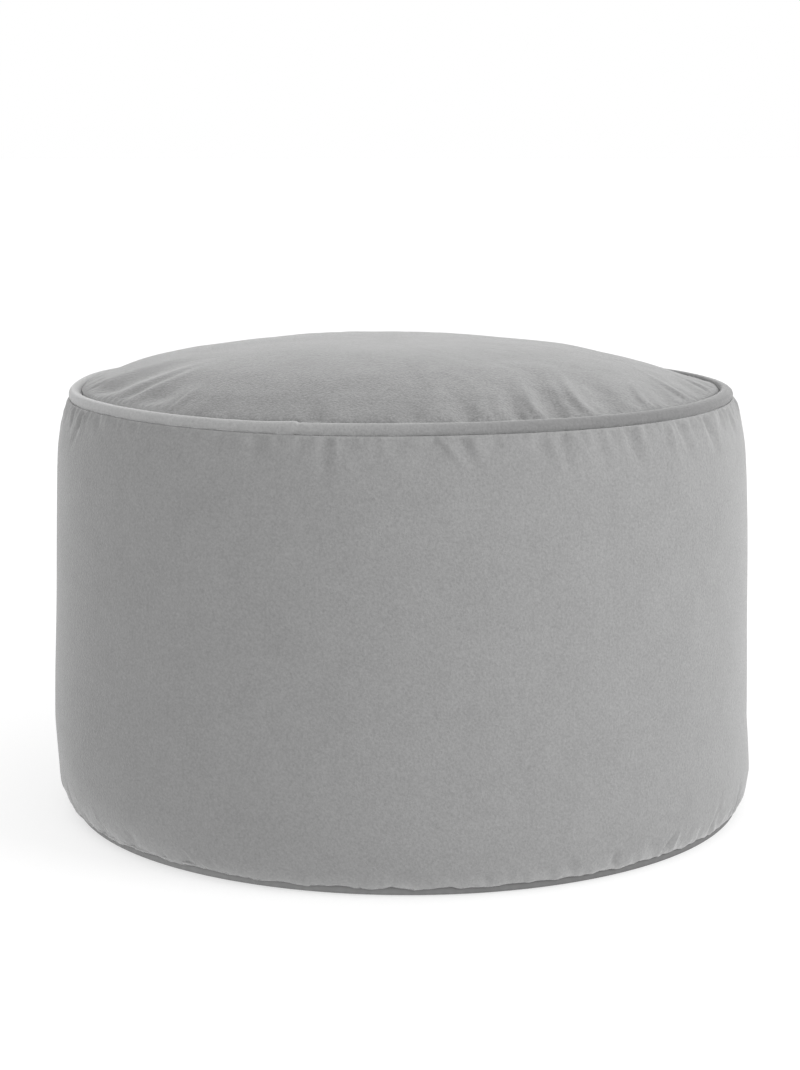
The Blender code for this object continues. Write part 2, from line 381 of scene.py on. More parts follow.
TOP_FOLDS += back_folds(11, (8, 13), (34, 62), (-10, 10), (1.0, 2.6), ends=(112, 247))
WALL_TOP_FOLDS += back_folds(23, (8, 13), (26, 46), (-3, 3), (1.6, 3.4))
WALL_BASE_FOLDS += back_folds(37, (8, 13), (20, 42), (-4, 4), (1.4, 3.8))
print("main gathers:", len(TOP_FOLDS), len(WALL_TOP_FOLDS), len(WALL_BASE_FOLDS))

# %% [markdown]
# ## Pressing a gather into the cloth
#
# A gather is a soft trough with a low ridge on each side, where the cloth that the trough takes
# away comes back. It starts where the cloth leaves the seam, is deepest a few millimetres further
# on and fades out at its reach. Side by side, two troughs would leave a sharp crest between them,
# so each fades with a smooth curve. A wide hollow takes cloth from everywhere and has no such
# ridges.

# %% Depth of the gathers at any point
FOLD_RISE = 0.006                       # from a gather's start to its full depth
WIDE_MM = 15.0                          # half a width from which a trough has no ridges
RIDGE_SHARE, RIDGE_MIDDLE, RIDGE_HALF = 0.25, 1.3, 0.8
LEAN_POWER = 1.6                        # a gather leaves its seam straight and then turns


def bell(values):
    """A smooth hump: 1 at 0, and 0 from 1 outwards."""
    return np.where(np.abs(values) < 1.0, 0.5 + 0.5 * np.cos(np.pi * values), 0.0)


def ease(values):
    """Ease from 0 to 1."""
    values = np.clip(values, 0.0, 1.0)
    return values * values * (3.0 - 2.0 * values)


def fold_depths(folds, angles, radii, distances, start, rise=FOLD_RISE):
    """How far the gathers press each point inwards, in metres."""
    depths = np.zeros(len(angles))
    for fold in folds:
        along = np.clip(distances * 1000.0 / fold.reach_mm, 0.0, 1.0)
        middle = fold.angle + fold.lean * along ** LEAN_POWER
        turn = (angles - middle + 180.0) % 360.0 - 180.0
        across = np.abs(np.radians(turn) * radii) / (fold.half_mm * 0.001)
        shape = bell(across)
        if fold.half_mm < WIDE_MM:
            shape -= RIDGE_SHARE * bell((across - RIDGE_MIDDLE) / RIDGE_HALF)
        depths += fold.depth_mm * 0.001 * shape * ease(1.0 - along)
    return depths * ease((distances - start) / rise)

# %% [markdown]
# ## Letting the cloth gather by itself
#
# Drawn folds alone look drawn. On the real cover the cloth is longer than the seam that it is
# sewn to, and the filling pushes it out, so it buckles into gathers of every size. Blender's
# cloth simulation does the same: the seam's points are pinned, a small pressure stands for the
# filling, and a negative shrink makes the cloth up to two percent larger than its mesh. A vertex
# group holds that extra fullness near the seams and keeps the middle taut. Twenty frames are
# enough. The simulation gives the small irregular gathers, and the drawn ones from the tables are
# pressed into the finer cloth afterwards, so that they keep their places.
#
# The pressure also swells the drum as a whole by a few millimetres. That would change its size, so
# the mean movement of each row round the drum is taken off again, and what stays is the gathers.
# No point may move further than a cap, so one lively gather can't rule its neighbours.
#
# Buckling is touchy: it grows from the last digit of the first sums, and spin and dissolve number
# their faces and edges by chance, which changes that digit. So the mesh is first made again with
# its faces in a fixed order, and every run then gives the same gathers.

# %% Number a mesh in a fixed order
def in_fixed_order(piece):
    """Make the same mesh again, its faces sorted and each begun at its lowest number."""
    mesh = piece.data
    rings = []
    for face in mesh.polygons:
        ring = list(face.vertices)
        first = ring.index(min(ring))
        rings.append(ring[first:] + ring[:first])
    bm = bmesh.new()
    layer = bm.verts.layers.float.new("from_seam")
    verts = [bm.verts.new(vert.co) for vert in mesh.vertices]
    for vert, distance in zip(verts, read_distances(piece).tolist()):
        vert[layer] = distance
    for ring in sorted(rings):
        bm.faces.new([verts[index] for index in ring])
    bm.to_mesh(mesh)
    bm.free()

# %% [markdown]
# Now the simulation itself: pin, run, take off the swell, cap, and keep the result.

# %% Simulate one sheet
PRESSURE = 4.0
LAST_FRAME = 20
TINY = 1e-9


def uneven(angles, seed, lumps):
    """A slowly varying number between about 0 and 1 round the drum."""
    turn = np.radians(angles)
    values = [
        noise.noise(Vector((math.sin(a) * lumps, math.cos(a) * lumps, seed))) for a in turn
    ]
    return 0.5 + 0.5 * np.array(values)


def calm(angles, centre, width, amount):
    """1 round the drum, less by amount where the cloth lies calm about one angle."""
    return 1.0 - amount * np.exp(-(((angles - centre) / width) ** 2))


def add_group(piece, name, weights):
    """A vertex group with a weight for each point."""
    group = piece.vertex_groups.new(name=name)
    for index, weight in enumerate(weights):
        group.add([index], float(weight), "REPLACE")


def without_swell(start, moved, distances):
    """The same movements without their mean over each row, outwards and upwards."""
    outward = start[:, :2] / np.maximum(radii_of(start), 1e-6)[:, None]
    rows = np.unique(np.round(distances, 5), return_inverse=True)[1]
    count = np.bincount(rows)
    sideways = (moved[:, :2] * outward).sum(axis=1)
    mean_out = (np.bincount(rows, sideways) / count)[rows]
    mean_up = (np.bincount(rows, moved[:, 2]) / count)[rows]
    kept = moved.copy()
    kept[:, :2] -= outward * mean_out[:, None]
    kept[:, 2] -= mean_up
    return kept


def gather_cloth(piece, sewn, taut, fullness, bending, cap):
    """Run the cloth simulation on a sheet and keep its gathers in the mesh."""
    in_fixed_order(piece)
    start = read_points(piece)
    add_group(piece, "sewn", sewn)
    add_group(piece, "taut", taut)
    cloth = piece.modifiers.new("cloth", "CLOTH")
    settings = cloth.settings
    settings.quality = 5
    settings.vertex_group_mass = "sewn"
    settings.vertex_group_shrink = "taut"
    settings.shrink_min = -fullness
    settings.shrink_max = 0.0
    settings.use_pressure = True
    settings.uniform_pressure_force = PRESSURE
    settings.effector_weights.gravity = 0.0
    settings.bending_stiffness = bending
    cloth.collision_settings.use_collision = False
    for number in range(1, LAST_FRAME + 1):
        scene.frame_set(number)
    result = piece.evaluated_get(bpy.context.evaluated_depsgraph_get())
    end = np.empty(start.size, dtype=np.float32)
    result.data.vertices.foreach_get("co", end)
    moved = without_swell(start, end.reshape(-1, 3) - start, read_distances(piece))
    lengths = np.linalg.norm(moved, axis=1)
    share = np.minimum(1.0, cap / np.maximum(lengths, TINY))
    piece.modifiers.remove(cloth)
    piece.vertex_groups.clear()
    write_points(piece, start + moved * share[:, None])
    scene.frame_set(1)
    kept = lengths * share * 1000.0
    print(f"{piece.name}: points moved {kept.mean():.2f} mm, at most {kept.max():.2f} mm")

# %% [markdown]
# ## The slump of the drum
#
# A bean bag never stands quite true. The top seam rises and falls by about a millimetre, and
# stands 3 mm high at the left back and 1 mm at the right back. The crown has slumped 16 mm to the
# left and sags 3 mm towards each end, and the belly and the base sit 1 mm and 5 mm to the right.
# Every piece goes through the same function, so they stay together.

# %% Settle a piece
CROWN_OFFSET, CROWN_MOST = -0.0156, 1.15
BASE_OFFSET, BASE_OFFSET_TOP = 0.0047, 0.070
BELLY_OFFSET, BELLY_MIDDLE, BELLY_HALF = 0.0010, 0.210, 0.150
SEAM_WAVES = ((2, 0.0005, 5), (3, 0.0005, -120), (5, 0.0004, 35))   # count, height, start
SEAM_LIFTS = ((0.0030, -108.0, 28.0), (0.0011, 118.0, 24.0))        # height, angle, half
SEAM_WAVE_FOOT = 0.200                                              # no waves below this
CROWN_SAGS = ((-0.165, 0.130, 0.0034), (0.205, 0.070, 0.0028))      # middle, half, depth


def settle(points):
    """Move points with the drum's slump."""
    angles, radii = angles_of(points), radii_of(points)
    heights = points[:, 2].astype(float)
    wave = sum(
        high * np.sin(np.radians(count * angles + start)) for count, high, start in SEAM_WAVES
    )
    wave += sum(high * bell((angles - at) / half) for high, at, half in SEAM_LIFTS)
    share = ease((heights - SEAM_WAVE_FOOT) / (SEAM_HEIGHT - SEAM_WAVE_FOOT))
    crown = np.clip((heights - RIM_HEIGHT) / CROWN_RISE, 0.0, CROWN_MOST)
    base = np.clip(1.0 - heights / BASE_OFFSET_TOP, 0.0, 1.0)
    moved = points.astype(float).copy()
    moved[:, 0] += CROWN_OFFSET * crown + BASE_OFFSET * base
    moved[:, 0] += BELLY_OFFSET * bell((heights - BELLY_MIDDLE) / BELLY_HALF)
    moved[:, 2] += wave * share * ease(radii / SEAM_RADIUS)
    for middle, half, depth in CROWN_SAGS:
        moved[:, 2] -= depth * crown * bell((points[:, 0] - middle) / half)
    return moved

# %% [markdown]
# ## Keeping clear of the piping
#
# The cloth on both sides of the top seam lies tight against the piping. Where a gather would go
# into it, its points are moved straight away from the middle of the cord until they clear it.

# %% Clear of the piping
CORD_CLEARANCE = 0.00015


def clear_of_piping(points):
    """Move points that would be inside the piping out to its surface."""
    radii = radii_of(points)
    out, up = radii - SEAM_RADIUS, points[:, 2] - CORD_HEIGHT
    away = np.maximum(np.hypot(out, up), 1e-6)
    push = np.maximum(1.0, (CORD_RADIUS + CORD_CLEARANCE) / away)
    moved = points.astype(float).copy()
    moved[:, :2] *= ((SEAM_RADIUS + out * push) / np.maximum(radii, 1e-6))[:, None]
    moved[:, 2] = CORD_HEIGHT + up * push
    return moved

# %% [markdown]
# ## Finer cloth after the simulation
#
# One level of subdivision rounds what the simulation left, and gives enough points for the
# smallest puckers. Those follow the stitches: each stitch, about 8 mm long, pulls a dimple into
# the cloth right beside the seam, and no two are alike.

# %% Subdivide, and pucker along a seam
PUCKER_SPACING = 0.0085
PUCKER_DEPTH, PUCKER_REACH, PUCKER_START = 0.0014, 0.0060, 0.0012
PUCKER_DRIFT = 9.0


def keep_result(piece, modifier):
    """Replace the mesh by what its one modifier makes of it."""
    result = piece.evaluated_get(bpy.context.evaluated_depsgraph_get())
    mesh = bpy.data.meshes.new_from_object(result)
    piece.modifiers.remove(modifier)
    old = piece.data
    piece.data = mesh
    bpy.data.meshes.remove(old)
    mesh.name = piece.name


def subdivide(piece, levels=1):
    """Replace the mesh by its subdivision surface."""
    modifier = piece.modifiers.new("finer", "SUBSURF")
    modifier.levels = modifier.render_levels = levels
    keep_result(piece, modifier)


def pucker_depths(angles, distances, seed):
    """How far the stitches pull each point in, in metres."""
    count = round(2.0 * math.pi * SEAM_RADIUS / PUCKER_SPACING)
    drift = PUCKER_DRIFT * uneven(angles, seed, 9.0)
    strength = 0.4 + 1.2 * uneven(angles, seed + 7.0, 14.0)
    dimple = 0.5 + 0.5 * np.cos(np.radians(angles) * count + drift)
    fade = np.exp(-distances / PUCKER_REACH) * (1.0 - np.exp(-distances / PUCKER_START))
    return PUCKER_DEPTH * strength * dimple * fade

# %% [markdown]
# ## The side band
#
# On the real footstool this is one long strip of plush, sewn to the piping above and to the base
# below. It is made as an open tube first, so that the simulation can pin both of its edges. Its
# first 4 mm lie tight under the cord up to a crest, so they are pinned too, and the gathers start
# at the crest.

# %% Side band: the tube, its gathers and the simulation
CREST, STITCH = 0.0034, 0.0005
SIDE_LOOSE_LEAST, SIDE_LOOSE_MORE = 0.018, 0.034

side = turned_sheet("plush_side_band", profile_rows(WALL_PROFILE, WALL_ROWS), WALL_ROWS)
points, from_top = read_points(side), read_distances(side)
from_base = wall_length - from_top
angles = angles_of(points)
full_reach = SIDE_LOOSE_LEAST + SIDE_LOOSE_MORE * uneven(angles, 3.0, 6.0)
taut_top = ease(from_top / (full_reach * calm(angles, -38.0, 22.0, 0.5)))
taut_base = ease(from_base / (full_reach * calm(angles, 0.0, 30.0, 0.5)))
sewn = ((from_top < CREST + 0.001) | (from_base < STITCH)).astype(float)
taut = np.minimum(taut_top, taut_base)
gather_cloth(side, sewn, taut, fullness=0.020, bending=6.0, cap=0.003)
subdivide(side)

# %% [markdown]
# After the simulation come the main gathers, the stitch puckers and the lower edge. That edge
# hangs in shallow scallops over the base panel: it is pulled up where a gather starts and sags
# between two gathers. A gather that starts there would also draw the edge inwards, through the
# base panel, so points below the panel's top are kept outside it.

# %% Side band: main gathers, puckers and the scalloped edge
BASE_TOP, HEM_LEAST_RADIUS = 0.0095, 0.2628
HEM_START, HEM_FADE, HEM_LIFT_SHARE = 0.001, 0.008, 0.40
HEM_MEASURED_AT = 0.009
HEM_WAVES = ((0.0030, 5.0, 14.0), (0.0020, 8.0, 36.0))      # height, seed, lumps

points, from_top = read_points(side), read_distances(side)
from_base = wall_length - from_top
angles, radii = angles_of(points), radii_of(points)
pulled = fold_depths(WALL_TOP_FOLDS, angles, radii, from_top, start=CREST)
pulled += fold_depths(WALL_BASE_FOLDS, angles, radii, from_base, start=HEM_START)
pulled += pucker_depths(angles, np.maximum(from_top - CREST, 0.0), 1.0)
pulled += pucker_depths(angles, from_base, 2.0)
points[:, :2] *= (1.0 - pulled / radii)[:, None]
beside_hem = np.full(len(angles), HEM_MEASURED_AT)
lifted = HEM_LIFT_SHARE * fold_depths(WALL_BASE_FOLDS, angles, radii, beside_hem, start=HEM_START)
lifted += sum(high * (uneven(angles, seed, lumps) - 0.5) for high, seed, lumps in HEM_WAVES)
points[:, 2] += lifted * np.exp(-from_base / HEM_FADE)
low = points[:, 2] < BASE_TOP
points[low, :2] *= np.maximum(1.0, HEM_LEAST_RADIUS / radii_of(points[low]))[:, None]
write_points(side, settle(clear_of_piping(points)))
print("side band: deepest gather", round(float(pulled.max()) * 1000, 1), "mm")

# %% [markdown]
# The tube is then closed to a solid, as the filling is part of this piece: its upper edge is
# extruded inwards under the top panel, its lower edge inwards above the base panel, and the
# middle of each is filled.

# %% Side band: close the filled drum
UNDER_CROWN = (
    (0.2450, 0.3150), (0.2380, 0.3190), (0.2050, 0.3300), (0.1500, 0.3410), (0.0700, 0.3480),
)
ABOVE_BASE = (
    (0.2638, 0.0086), (0.2606, 0.0094), (0.2590, 0.0066), (0.2575, 0.0040), (0.1500, 0.0035),
)


def extrude_ring(bm, ring, radius, height):
    """Extrude a ring of edges and move its new points to one radius and height."""
    result = bmesh.ops.extrude_edge_only(bm, edges=ring)["geom"]
    for vert in [item for item in result if isinstance(item, bmesh.types.BMVert)]:
        flat = Vector((vert.co.x, vert.co.y, 0.0)).normalized() * radius
        vert.co = (flat.x, flat.y, height)
    return [item for item in result if isinstance(item, bmesh.types.BMEdge) and item.is_boundary]


bm = bmesh.new()
bm.from_mesh(side.data)
openings = [edge for edge in bm.edges if edge.is_boundary]
upper = [edge for edge in openings if edge.verts[0].co.z > HEIGHT / 2]
lower = [edge for edge in openings if edge.verts[0].co.z < HEIGHT / 2]
for ring, steps in ((upper, UNDER_CROWN), (lower, ABOVE_BASE)):
    for radius, height in steps:
        ring = extrude_ring(bm, ring, radius, height)
    bmesh.ops.contextual_create(bm, geom=ring)
bmesh.ops.recalc_face_normals(bm, faces=bm.faces)
print("side band closed:", all(edge.is_manifold for edge in bm.edges), len(bm.faces), "faces")
bm.to_mesh(side.data)
bm.free()

# %% [markdown]
# The colour is painted lighter in three places. A painted highlight runs along the hem, painted
# light lifts the shade in the seam under the cord, and at the lower left, where the band turns
# under, painted light lifts the shade over a few centimetres.

# %% Side band: painted light at the hem, in the seam and at the lower left
# Painted light: a painted highlight along the hem, and painted light that lifts the shade in the
# seam under the cord and at the lower left, where the band turns under.
PAINTED_LIGHT_HEM, PAINTED_LIGHT_HEM_FADE = 0.7, 0.006
PAINTED_LIGHT_IN_SEAM = 1.4
PAINTED_LIGHT_TURNED_UNDER, TURNED_UNDER_REACH = 0.55, 0.030

from_top, angles = read_distances(side), angles_of(read_points(side))
from_base = np.maximum(wall_length - from_top, 0.0)
left_share = ease((-20.0 - angles) / 50.0)
turned_under = PAINTED_LIGHT_TURNED_UNDER * np.exp(-(from_base / TURNED_UNDER_REACH) ** 2) * left_share
beside_hem = PAINTED_LIGHT_HEM * np.exp(-from_base / PAINTED_LIGHT_HEM_FADE)
note_painted_light(side, beside_hem + turned_under + PAINTED_LIGHT_IN_SEAM * np.exp(-(from_top / CREST) ** 2))

# %% [markdown]
# ## The top panel
#
# A round panel over a heap of beads: domed, and gathered into the seam all round, with the
# longest gathers at the right front. The spun mesh has far too many columns near its centre,
# where they would be slivers, so every second spoke is dissolved inside each of three radii.

# %% Top panel: the dome with fewer spokes inside
def thin_spokes(piece, radius, keep_every, columns=COLUMNS):
    """Inside a radius, keep only one spoke of several."""
    bm = bmesh.new()
    bm.from_mesh(piece.data)
    spokes = []
    for edge in bm.edges:
        a, b = edge.verts
        ra, rb = math.hypot(a.co.x, a.co.y), math.hypot(b.co.x, b.co.y)
        if max(ra, rb) > radius or abs(ra - rb) < 1e-4:
            continue
        outer = a if ra > rb else b
        column = round(math.atan2(outer.co.x, -outer.co.y) / (2.0 * math.pi) * columns)
        if column % keep_every:
            spokes.append(edge)
    bmesh.ops.dissolve_edges(bm, edges=spokes, use_verts=True)
    bm.to_mesh(piece.data)
    bm.free()


top = turned_sheet("plush_top_panel", profile_rows(CROWN_PROFILE, CROWN_ROWS), CROWN_ROWS)
for radius, keep_every in ((0.168, 2), (0.088, 4), (0.046, 8)):
    thin_spokes(top, radius, keep_every)
print("top panel:", len(top.data.polygons), "faces")

# %% [markdown]
# The crown is drawn over its filling much more smoothly than the side, so its simulation is a
# light one: hardly any fullness, stiff cloth, and no point moves more than half a millimetre.
# `looseness` fades it out at the left front and nearly out at the right front, where the
# photograph shows each gather clearly and the tables alone place them.

# %% Top panel: the simulation
TOP_LOOSE_LEAST, TOP_LOOSE_MORE = 0.030, 0.040
TOP_CAP = 0.0005

from_rim, angles = read_distances(top), angles_of(read_points(top))
full_reach = TOP_LOOSE_LEAST + TOP_LOOSE_MORE * uneven(angles, 12.0, 5.0)
looseness = np.maximum(calm(angles, -60.0, 50.0, 2.0), 0.0) * calm(angles, 62.0, 45.0, 0.85)
taut = 1.0 - looseness * (1.0 - ease(from_rim / full_reach))
sewn = (from_rim < STITCH).astype(float)
gather_cloth(top, sewn, taut, fullness=0.006, bending=12.0, cap=TOP_CAP * looseness)
subdivide(top)

# %% [markdown]
# The panel gets its main gathers and stitch puckers and settles with the drum. Its gathers press
# straight down, which looks a little flatter on the dome than the same depth does on the side, so
# they are made 15 percent deeper. At the left front a gather takes 26 mm to reach its full depth,
# in place of 6 mm, because the cloth leaves the cord in a smooth swell there.

# %% Top panel: main gathers and puckers
TOP_SHARE, TOP_START, SLOWER_RISE = 1.15, 0.0025, 0.020

points, from_rim = read_points(top), read_distances(top)
angles, radii = angles_of(points), radii_of(points)
slow_rise = FOLD_RISE + SLOWER_RISE * ease((-20.0 - angles) / 20.0)
points[:, 2] -= TOP_SHARE * fold_depths(
    TOP_FOLDS, angles, radii, from_rim, start=TOP_START, rise=slow_rise
)
points[:, 2] -= pucker_depths(angles, from_rim, 4.0)
write_points(top, settle(clear_of_piping(points)))

# %% [markdown]
# Then it becomes a sheet 2 mm thick, which is plush with its pile. Solidify grows inwards, so the
# visible face stays where it is. Where the panel turns down to the cord at the left, painted light
# lifts the shade.

# %% Top panel: thickness and painted light
PAINTED_LIGHT_TURN_DOWN, TURN_DOWN_REACH = 2.0, 0.005


def give_thickness(piece, thickness):
    """Make the sheet a closed body by growing it inwards."""
    modifier = piece.modifiers.new("thickness", "SOLIDIFY")
    modifier.thickness = thickness
    modifier.offset = -1.0
    modifier.use_even_offset = False
    keep_result(piece, modifier)


give_thickness(top, SHEET)
from_rim, angles = read_distances(top), angles_of(read_points(top))
# Painted light that lifts the shade where the panel turns down to the cord at the left.
turned_down = PAINTED_LIGHT_TURN_DOWN * np.exp(-(from_rim / TURN_DOWN_REACH) ** 2)
note_painted_light(top, turned_down * ease((-15.0 - angles) / 40.0))
print("top panel:", len(top.data.polygons), "faces, highest point",
      round(max(vert.co.z for vert in top.data.vertices) * 1000, 1), "mm")

# %% [markdown]
# ## The piping
#
# A strip of the same plush, cut on the bias and wrapped tightly round a cord. It is one ring, so
# a circle spun round the drum's axis makes it.

# %% Piping: the ring
PIPING_COLUMNS, PIPING_SIDES = 1080, 16

bm = bmesh.new()
bmesh.ops.create_circle(bm, cap_ends=False, radius=CORD_RADIUS, segments=PIPING_SIDES)
for vert in bm.verts:
    vert.co = Vector((0.0, -SEAM_RADIUS + vert.co.x, CORD_HEIGHT + vert.co.y))
spin_round(bm, PIPING_COLUMNS)
piping = new_piece("plush_piping", bm)
print("piping ring", round(SEAM_RADIUS * 2000), "mm across,", len(piping.data.polygons), "faces")

# %% [markdown]
# What keeps it from looking like a plastic tube is small: the bias strip creases very slightly
# across, and it is a little thicker here and thinner there. Its two ends are joined left of the
# front. There one end laps over the other: the cord thickens over the last 28 mm before the join
# and then drops in a small step. Along its top a painted highlight lightens its colour, and in the
# groove under it painted light lifts the shade.

# %% Piping: creases, the join and painted light
CREASE_CIRCLE = 42.0                        # of the noise: gives a crease every 6 mm
CREASE, UNEVENNESS = 0.035, 0.05
JOIN_ANGLE, JOIN_LENGTH = -16.2, 6.5        # degrees
LAP, JOIN_DIP, JOIN_DIP_AT, JOIN_DIP_HALF = 0.15, 0.05, 0.35, 0.30
PAINTED_HIGHLIGHT_ON_TOP, PAINTED_LIGHT_IN_GROOVE = 0.5, 1.6

points = read_points(piping).astype(float)
angles = angles_of(points)
turn = np.radians(angles)
centres = np.stack(
    [np.sin(turn) * SEAM_RADIUS, -np.cos(turn) * SEAM_RADIUS, np.full(len(turn), CORD_HEIGHT)],
    axis=1,
)
outward = points - centres
round_cord = np.arctan2(outward[:, 2], radii_of(points) - SEAM_RADIUS)
crease = np.array([
    noise.noise(Vector((
        math.sin(a) * CREASE_CIRCLE + 0.9 * math.sin(c), math.cos(a) * CREASE_CIRCLE, 1.5 * c
    )))
    for a, c in zip(turn, round_cord)
])
thick = 1.0 + CREASE * crease + UNEVENNESS * (uneven(angles, 31.0, 7.0) - 0.5)
past_join = angles - JOIN_ANGLE - 0.4 * np.sin(round_cord)
lap = np.where(past_join < 0.0, ease(1.0 + past_join / JOIN_LENGTH), 0.0)
dip = np.exp(-(((past_join - JOIN_DIP_AT) / JOIN_DIP_HALF) ** 2))
thick += LAP * lap - JOIN_DIP * dip
write_points(piping, settle(centres + outward * thick[:, None]))
# Painted highlight along the top of the cord, and painted light that lifts the shade in the groove
# under it.
facing_up = np.sin(round_cord - 0.10)
on_top, in_groove = np.clip(facing_up, 0.0, 1.0) ** 3, ease((-facing_up - 0.50) / 0.50)
note_painted_light(piping, PAINTED_HIGHLIGHT_ON_TOP * on_top + PAINTED_LIGHT_IN_GROOVE * in_groove)
print("piping from", round(thick.min() * CORD_RADIUS * 2000, 1), "to",
      round(thick.max() * CORD_RADIUS * 2000, 1), "mm thick")

# %% [markdown]
# ## The base panel
#
# The plain cloth under the drum shows only as a smooth grey edge below the side band. A flat
# round with that edge, turned as a sheet and given its thickness, makes it.

# %% Base panel
BASE_FLAT = [(0.0, 0.0), (0.125, 0.0), (0.230, 0.0)]
BASE_COLUMNS, EDGE_ROWS = 288, 12

edge_length = smooth_line(BASE_EDGE_PROFILE)[1][-1]
edge_rows = np.linspace(0.0, edge_length, EDGE_ROWS).tolist()
profile = BASE_FLAT + profile_rows(BASE_EDGE_PROFILE, edge_rows)
base = turned_sheet("base_cloth_panel", profile, [0.0] * len(profile), BASE_COLUMNS)
for radius, keep_every in ((0.231, 3), (0.126, 12)):
    thin_spokes(base, radius, keep_every, BASE_COLUMNS)
write_points(base, settle(read_points(base)))
give_thickness(base, SHEET)
print("base panel lowest point", min(vert.co.z for vert in base.data.vertices))

# %% [markdown]
# ## Materials: how colours and nodes are written
#
# Colours are sRGB hex values, as a paint chart gives them, and one function turns them to the
# linear numbers that the shader wants. One more function adds a node with its settings and
# links, so that each material reads as a list of what it is made of.
#
# Both cloths of this drum carry painted shade, from one grey at its left to another at its right,
# so a function makes that blend. Another one scales the blended colour by a pattern and hands it
# to the shader.

# %% Colour and node helpers
def linear(hex_colour):
    """An sRGB hex value as linear RGBA."""
    parts = [int(hex_colour[index:index + 2], 16) / 255.0 for index in (1, 3, 5)]
    parts = [c / 12.92 if c <= 0.04045 else ((c + 0.055) / 1.055) ** 2.4 for c in parts]
    return (*parts, 1.0)


def add_node(tree, kind, inputs=None, **settings):
    """Add a node. Each input is a value, or the output socket that feeds it."""
    node = tree.nodes.new(kind)
    for name, value in settings.items():
        setattr(node, name, value)
    for name, value in (inputs or {}).items():
        if isinstance(value, bpy.types.NodeSocket):
            tree.links.new(value, node.inputs[name])
        else:
            node.inputs[name].default_value = value
    return node


def new_material(name):
    """An empty material with its output and its Principled shader."""
    material = bpy.data.materials.new(name)
    material.use_nodes = True
    tree = material.node_tree
    return material, tree, tree.nodes["Principled BSDF"]


def grey_with_painted_shade(tree, place, left, right, ends):
    """A colour with painted shade that goes from left to right over the drum, between two places
    on X.
    """
    across = add_node(tree, "ShaderNodeSeparateXYZ", {"Vector": place})
    share = add_node(tree, "ShaderNodeMapRange", {
        "Value": across.outputs["X"], "From Min": ends[0], "From Max": ends[1],
    }, interpolation_type="SMOOTHSTEP")
    grey = add_node(tree, "ShaderNodeMix", {
        "Factor": share.outputs["Result"], "A": linear(left), "B": linear(right),
    }, data_type="RGBA")
    return grey.outputs["Result"]


def apply_patterned_colour(tree, shader, colour, pattern):
    """Give the shader a colour that a pattern makes lighter and darker: the cloth's own tone, and
    on the plush painted light too.
    """
    patterned = add_node(
        tree, "ShaderNodeVectorMath", {0: colour, "Scale": pattern}, operation="SCALE"
    )
    tree.links.new(patterned.outputs["Vector"], shader.inputs["Base Color"])

# %% [markdown]
# ## Polyester plush
#
# The cover is a knitted polyester plush with a short pile, about a millimetre deep. The pile does
# three things to the eye. It scatters light in all directions, so there is no gloss. Seen along
# the surface, its tips catch the light, so edges look paler: that is the sheen. And it never lies
# quite even, so there are faint cloudy patches, some 30 mm wide and some 5 mm, where the nap
# leans another way, with a fine grain of single tufts on top. A tuft is about half a millimetre,
# too fine to show from here, so it is drawn at 1.8 mm.
#
# Painted light is put into the colour in some places: a painted highlight along the top of the
# cord and along the hem, and painted light that lifts the shade where the top panel turns down at
# the left, at the lower left of the side band and in the seams and the groove beside the cord. An
# attribute on the plush pieces says where and how much.
#
# On the piping the pile lies along the strip and leans towards the light on the left of the drum
# and away from it on the right. That is painted into the colour, a painted highlight at the left
# going over to painted shade at the right, so the cord goes from paler than the cloth beside it to
# darker. On the two panels the same painted shade is slight, and the left is only a little darker.

# %% Plush material
CLOUD, PATCH, TUFT = 0.030, 0.005, 0.0018       # metres
PAINTED_LIGHT_GAIN = 0.60
PLUSH_ENDS = (-0.24, 0.20)


